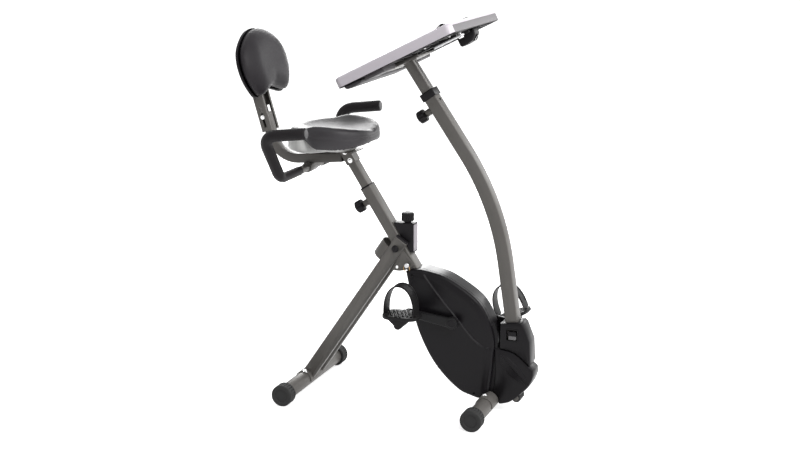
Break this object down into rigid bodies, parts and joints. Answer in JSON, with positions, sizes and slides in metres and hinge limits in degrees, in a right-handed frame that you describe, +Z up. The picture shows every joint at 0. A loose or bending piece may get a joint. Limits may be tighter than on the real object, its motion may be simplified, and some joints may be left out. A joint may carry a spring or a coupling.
{
  "type": "folding exercise bike with desk",
  "caption": "Folding exercise bike: X frame on two floor bars, padded seat with backrest and side handles, and a sloping desk on a curved telescoping post",
  "frame": {"origin": "middle of the footprint, on the floor", "axes": "+X from the seat towards the desk, +Y to the rider's left, +Z up"},
  "size_m": [0.981, 0.6356, 1.2231],
  "materials": {
    "frame_paint": "warm grey satin metallic paint",
    "bar_paint": "black satin paint",
    "chrome": "polished",
    "housing": "black, soft gloss",
    "black_plastic": "black, satin",
    "pedal_rubber": "black moulded, matt",
    "rubber": "black, matt",
    "desk_plastic": "silver grey with a lilac tint, fine satin",
    "leather": "black, soft sheen",
    "foam": "black foam, matt",
    "seat_shell": "light grey, satin",
    "iron": "turned rim, grey",
    "lever_steel": "grey, ribbed"
  },
  "bodies": {
    "base": {"main_tube": "frame_paint", "tension_box": "black_plastic", "brake_cable": "rubber", "pivot_bolt": "black_plastic", "seat_sleeve": "black_plastic", "front_stabilizer": "frame_paint", "front_cap_right": "rubber", "front_cap_left": "rubber", "desk_post": "frame_paint", "post_collar": "black_plastic", "base_arm": "frame_paint", "housing_right": "housing", "housing_left": "housing", "front_cover": "housing", "foot_cover": "housing", "crank_bearing_right": "chrome", "crank_bearing_left": "chrome", "drive_belt": "rubber"},
    "rear_leg": {"leg_right": "frame_paint", "leg_left": "frame_paint", "leg_plug_right": "black_plastic", "leg_plug_left": "black_plastic", "leg_yoke": "frame_paint", "rear_saddle": "frame_paint", "rear_stabilizer": "frame_paint", "rear_cap_right": "rubber", "rear_cap_left": "rubber"},
    "lock_pin": {"lock_pin": "chrome"},
    "seat": {"seat_post": "frame_paint", "seat_rail": "frame_paint", "seat_shell": "seat_shell", "seat_cushion": "leather", "handlebar": "frame_paint", "handlebar_clamp": "frame_paint", "grip_right": "foam", "grip_left": "foam", "backrest_bolt": "chrome"},
    "seat_knob": {"seat_knob": "black_plastic"},
    "backrest": {"backrest_bracket": "frame_paint", "backrest_shell": "black_plastic", "backrest_pad": "leather"},
    "desk_mast": {"inner_post": "frame_paint"},
    "desk_knob": {"desk_knob": "black_plastic"},
    "desk": {"desk_top": "desk_plastic", "desk_tray": "black_plastic", "wrist_pad": "leather", "monitor_box": "black_plastic"},
    "lock_lever": {"lock_lever": "lever_steel"},
    "tension_knob": {"tension_knob": "black_plastic"},
    "magnet_arm": {"magnet_arm": "iron"},
    "crank": {"crank_axle": "chrome", "crank_arm_right": "bar_paint", "crank_arm_left": "bar_paint", "drive_pulley": "black_plastic"},
    "pedal_right": {"pedal_right": "pedal_rubber", "pedal_strap_right": "pedal_rubber"},
    "pedal_left": {"pedal_left": "pedal_rubber", "pedal_strap_left": "pedal_rubber"},
    "flywheel": {"flywheel": "iron"},
    "transport_roller": {"transport_roller": "rubber"}
  },
  "joints": [
    {"name": "leg_fold", "type": "hinge", "parent": "base", "child": "rear_leg", "pos_m": [0.0399, 0, 0.499], "axis": [0, -1, 0], "range_deg": [0, 36]},
    {"name": "lock_pin_push", "type": "slide", "parent": "rear_leg", "child": "lock_pin", "axis": [0, 1, 0], "range_m": [0, 0.008]},
    {"name": "seat_height", "type": "slide", "parent": "base", "child": "seat", "axis": [-0.5358, 0, 0.8443], "range_m": [-0.05, 0.05]},
    {"name": "seat_knob_pull", "type": "slide", "parent": "base", "child": "seat_knob", "axis": [-0.8443, 0, -0.5358], "range_m": [0, 0.008], "stiffness_N_per_m": 400},
    {"name": "backrest_height", "type": "slide", "parent": "seat", "child": "backrest", "axis": [-0.279, 0, 0.9603], "range_m": [-0.015, 0.026]},
    {"name": "desk_height", "type": "slide", "parent": "base", "child": "desk_mast", "axis": [-0.5621, 0, 0.8271], "range_m": [-0.07, 0.07]},
    {"name": "desk_knob_pull", "type": "slide", "parent": "base", "child": "desk_knob", "axis": [-0.8271, 0, -0.5621], "range_m": [0, 0.008], "stiffness_N_per_m": 400},
    {"name": "desk_slide", "type": "slide", "parent": "desk_mast", "child": "desk", "axis": [0.8949, 0, 0.4462], "range_m": [-0.05, 0.016]},
    {"name": "lock_lever_swing", "type": "hinge", "parent": "desk", "child": "lock_lever", "pos_m": [0.26426, -0.096, 1.17612], "axis": [-0.4462, 0, 0.8949], "range_deg": [0, 40]},
    {"name": "tension_knob_turn", "type": "hinge", "parent": "base", "child": "tension_knob", "pos_m": [0.0649, 0, 0.577], "axis": [0, 0, 1], "range_deg": [-150, 150]},
    {"name": "magnet_arm_swing", "type": "hinge", "parent": "base", "child": "magnet_arm", "pos_m": [0.22705, 0.033, 0.23682], "axis": [0, 1, 0], "range_deg": [-2, 2]},
    {"name": "crank_spin", "type": "hinge", "parent": "base", "child": "crank", "pos_m": [0.2359, 0, 0.284], "axis": [0, 1, 0], "continuous": true},
    {"name": "pedal_right_spin", "type": "hinge", "parent": "crank", "child": "pedal_right", "pos_m": [0.0949, -0.129, 0.304], "axis": [0, 1, 0], "continuous": true},
    {"name": "pedal_left_spin", "type": "hinge", "parent": "crank", "child": "pedal_left", "pos_m": [0.3769, 0.129, 0.264], "axis": [0, 1, 0], "continuous": true},
    {"name": "flywheel_spin", "type": "hinge", "parent": "base", "child": "flywheel", "pos_m": [0.2679, 0, 0.16], "axis": [0, 1, 0], "continuous": true},
    {"name": "roller_spin", "type": "hinge", "parent": "base", "child": "transport_roller", "pos_m": [0.4339, 0, 0.049], "axis": [0, 1, 0], "continuous": true}
  ],
  "couplings": [
    {"joint": "flywheel_spin", "follows": "crank_spin", "ratio": 6.1429},
    {"joint": "magnet_arm_swing", "follows": "tension_knob_turn", "ratio": 0.0133}
  ]
}
